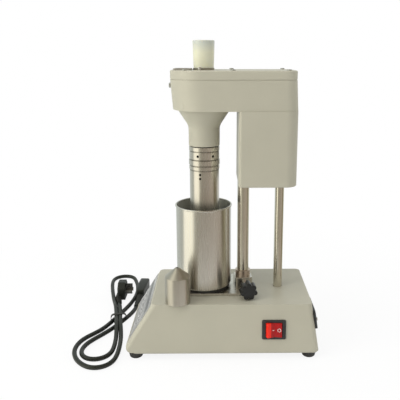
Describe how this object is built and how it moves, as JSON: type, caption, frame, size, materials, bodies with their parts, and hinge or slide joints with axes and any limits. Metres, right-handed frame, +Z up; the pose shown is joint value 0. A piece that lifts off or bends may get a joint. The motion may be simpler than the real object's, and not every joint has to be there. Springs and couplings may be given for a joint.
{
  "type": "rotational viscometer",
  "caption": "Bench viscometer: a belt-driven sleeve turns round a sprung bob in a cup on a sliding stage, on a raked base with a keypad panel.",
  "frame": {"origin": "centre of the base's footprint, on the surface the feet stand on", "axes": "+Z up along the columns; +X from the keypad panel to the rear inlet; +Y away from the side with the power switch"},
  "size_m": [0.3507, 0.3238, 0.433],
  "materials": {
    "casing": "semi-gloss warm grey-beige enamel",
    "plate": "matt enamel",
    "rubber": "matt black",
    "steel": "bright machine steel",
    "stainless": "satin stainless steel",
    "polished": "mirror polished",
    "overlay": "printed membrane",
    "black_plastic": "moulded black",
    "red_plastic": "glossy red",
    "white_plastic": "translucent off-white",
    "brass": "plain",
    "iron": "laminated core and lacquered windings",
    "cast": "cast",
    "aluminium": "turned",
    "motor_paint": "dark enamel",
    "board": "solder mask",
    "glass": "clear",
    "spring_steel": "spring wire",
    "belt": "moulded belt"
  },
  "bodies": {
    "frame": {"base_cover": "casing", "base_plate": "plate", "feet": "rubber", "foot_screws": "steel", "plate_screws": "steel", "keypad_overlay": "overlay", "switch_housing": "black_plastic", "inlet_housing": "black_plastic", "inlet_pins": "brass", "inlet_screws": "steel", "front_column": "polished", "rear_column": "polished", "column_block": "cast", "column_screws": "steel", "transformer": "iron", "control_board": "board", "board_standoffs": "brass", "spindle_bearings": "steel", "spindle_housing": "casing", "head_floor_screws": "steel", "motor_box": "casing", "head_body": "casing", "front_screw": "steel", "head_lid": "casing", "lid_screws": "steel", "window_bezel": "black_plastic", "window_glass": "glass", "spring_seat": "aluminium", "spring_tube": "aluminium", "torsion_spring": "spring_steel", "shaft_bridge": "aluminium", "bridge_bearing": "brass", "seat_screw": "steel", "drive_motor": "motor_paint", "timing_belt": "belt", "mains_plug": "rubber", "plug_pins": "brass", "cord_hank": "rubber", "cord_tie": "black_plastic", "line_connector": "rubber"},
    "rotor": {"spindle": "stainless", "coupling_ring": "stainless", "rotor_sleeve": "stainless", "driven_pulley": "aluminium", "shaft_bearings": "steel"},
    "motor_rotor": {"motor_shaft": "steel", "drive_pulley": "aluminium"},
    "bob": {"bob_shaft": "stainless", "measuring_bob": "stainless", "dial": "aluminium"},
    "stage": {"stage_plate": "polished", "clamp_block": "polished", "stage_collar": "stainless", "cup_mat": "rubber"},
    "knob": {"clamp_knob": "black_plastic", "clamp_screw": "steel"},
    "cup": {"sample_cup": "stainless"},
    "cap": {"spring_cap": "white_plastic"},
    "rocker": {"switch_rocker": "red_plastic"},
    "spare": {"spare_bob": "stainless"}
  },
  "joints": [
    {"name": "rotor_spin", "type": "hinge", "parent": "frame", "child": "rotor", "pos_m": [-0.0249, 0, 0.25], "axis": [0, 0, 1], "continuous": true, "deforming": ["timing_belt"]},
    {"name": "motor_spin", "type": "hinge", "parent": "frame", "child": "motor_rotor", "pos_m": [0.06308, 0, 0.34], "axis": [0, 0, 1], "continuous": true, "deforming": ["timing_belt"]},
    {"name": "bob_turn", "type": "hinge", "parent": "frame", "child": "bob", "pos_m": [-0.0249, 0, 0.3], "axis": [0, 0, 1], "range_deg": [0, 300], "stiffness_Nm_per_rad": 0.0022},
    {"name": "stage_slide", "type": "slide", "parent": "frame", "child": "stage", "axis": [0, 0, 1], "range_m": [0, 0.085]},
    {"name": "knob_turn", "type": "hinge", "parent": "stage", "child": "knob", "pos_m": [0.0305, 0, 0.092], "axis": [0.1219, -0.9925, 0], "range_deg": [0, 360]},
    {"name": "cup_lift", "type": "slide", "parent": "stage", "child": "cup", "axis": [0, 0, 1], "range_m": [0, 0.01]},
    {"name": "cap_lift", "type": "slide", "parent": "frame", "child": "cap", "axis": [0, 0, 1], "range_m": [0, 0.06]},
    {"name": "switch_rock", "type": "hinge", "parent": "frame", "child": "rocker", "pos_m": [0.0709, -0.06903, 0.0435], "axis": [0, 0.106, 0.9944], "range_deg": [-18, 0]},
    {"name": "spare_lift", "type": "slide", "parent": "frame", "child": "spare", "axis": [0, 0, 1], "range_m": [0, 0.05]}
  ],
  "couplings": [
    {"joint": "motor_spin", "follows": "rotor_spin", "ratio": 2}
  ]
}
